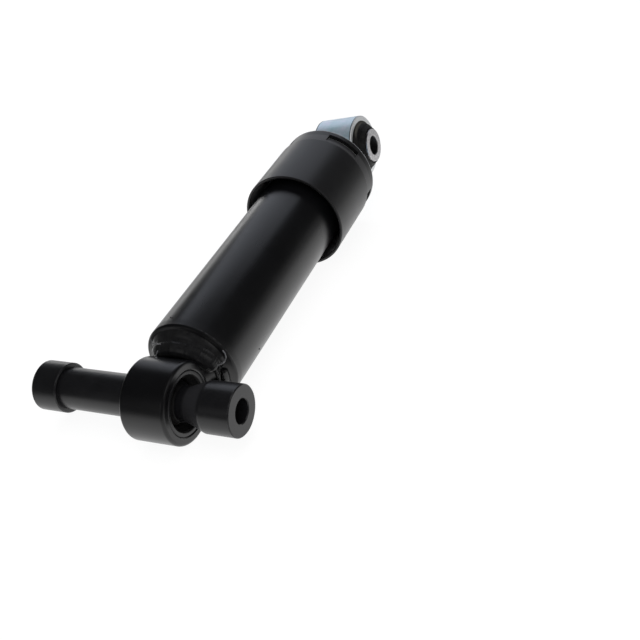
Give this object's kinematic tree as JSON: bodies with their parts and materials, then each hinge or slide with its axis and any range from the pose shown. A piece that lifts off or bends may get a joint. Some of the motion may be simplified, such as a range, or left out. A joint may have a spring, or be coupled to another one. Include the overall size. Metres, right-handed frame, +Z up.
{
  "type": "cab shock absorber",
  "caption": "Twin-tube telescopic damper for a truck cab: black reservoir tube, moulded dust cover, rubber-bushed eye at each end, the lower one on a long collared sleeve.",
  "frame": {"origin": "centre of the lower eye, where the damper's axis crosses the lower sleeve's axis", "axes": "+X along the damper towards the upper eye, +Y along the lower sleeve towards its long end, +Z up, with the damper lying on its side as in the picture"},
  "size_m": [0.3413, 0.136, 0.0742],
  "materials": {
    "black_paint": "satin black paint",
    "bush_rubber": "moulded black rubber",
    "drawn_steel": "plain drawn steel",
    "sintered_iron": "sintered iron, matte",
    "spring_steel": "blued spring steel",
    "bearing_plastic": "filled bearing plastic",
    "chromed_rod": "ground hard chrome",
    "seal_rubber": "nitrile rubber",
    "bearing_bronze": "bronze-backed bush",
    "cover_plastic": "satin black moulded plastic",
    "zinc_plate": "clear zinc plate, bluish",
    "bare_steel": "turned steel, light grey"
  },
  "bodies": {
    "reservoir": {"lower_eye_ring": "black_paint", "lower_bush_shell": "black_paint", "lower_bush_rubber": "bush_rubber", "bottom_cap": "black_paint", "lower_eye_weld": "black_paint", "reservoir_tube": "black_paint", "pressure_tube": "drawn_steel", "base_valve_body": "sintered_iron", "base_valve_spacer": "spring_steel", "base_star_spring": "spring_steel", "base_bleed_shim_1": "spring_steel", "base_bleed_shim_2": "spring_steel", "base_bleed_shim_3": "spring_steel", "base_valve_rivet": "drawn_steel", "rod_guide": "sintered_iron", "guide_bush": "bearing_bronze", "rod_seal": "seal_rubber", "guide_cover_plate": "drawn_steel", "guide_ring_seal": "seal_rubber"},
    "lower_sleeve": {"lower_inner_sleeve": "black_paint", "lower_far_collar": "black_paint"},
    "base_plate": {"base_intake_plate": "spring_steel"},
    "rod_band": {"piston_band": "bearing_plastic"},
    "rod_assembly": {"piston_rod": "chromed_rod", "piston": "sintered_iron", "piston_spacer": "spring_steel", "piston_star_spring": "spring_steel", "piston_keeper": "drawn_steel", "piston_rebound_shim_1": "spring_steel", "piston_rebound_shim_2": "spring_steel", "piston_rebound_shim_3": "spring_steel", "piston_washer": "drawn_steel", "piston_nut": "drawn_steel", "rebound_stop_ring": "drawn_steel", "rebound_rubber": "seal_rubber", "bump_stop": "seal_rubber", "cover_disc": "zinc_plate", "dust_cover": "cover_plastic", "upper_stem": "zinc_plate", "upper_eye_weld": "zinc_plate", "upper_eye_ring": "zinc_plate", "upper_bush_rubber": "bush_rubber"},
    "piston_plate": {"piston_intake_plate": "spring_steel"},
    "upper_sleeve": {"upper_inner_sleeve": "bare_steel"}
  },
  "joints": [
    {"name": "lower_bush_twist", "type": "hinge", "parent": "reservoir", "child": "lower_sleeve", "pos_m": [0, 0, 0], "axis": [0, 1, 0], "range_deg": [-15, 15], "stiffness_Nm_per_rad": 60},
    {"name": "base_plate_lift", "type": "slide", "parent": "reservoir", "child": "base_plate", "axis": [1, 0, 0], "range_m": [0, 0.0008], "stiffness_N_per_m": 400},
    {"name": "rod_slide", "type": "slide", "parent": "reservoir", "child": "rod_band", "axis": [1, 0, 0], "range_m": [-0.031, 0.015]},
    {"name": "rod_spin", "type": "hinge", "parent": "rod_band", "child": "rod_assembly", "pos_m": [0.15, 0, 0], "axis": [1, 0, 0], "continuous": true},
    {"name": "piston_plate_lift", "type": "slide", "parent": "rod_assembly", "child": "piston_plate", "axis": [1, 0, 0], "range_m": [0, 0.0008], "stiffness_N_per_m": 400},
    {"name": "upper_bush_twist", "type": "hinge", "parent": "rod_assembly", "child": "upper_sleeve", "pos_m": [0.293, 0, 0], "axis": [0, 0.993, -0.1184], "range_deg": [-15, 15], "stiffness_Nm_per_rad": 60}
  ]
}
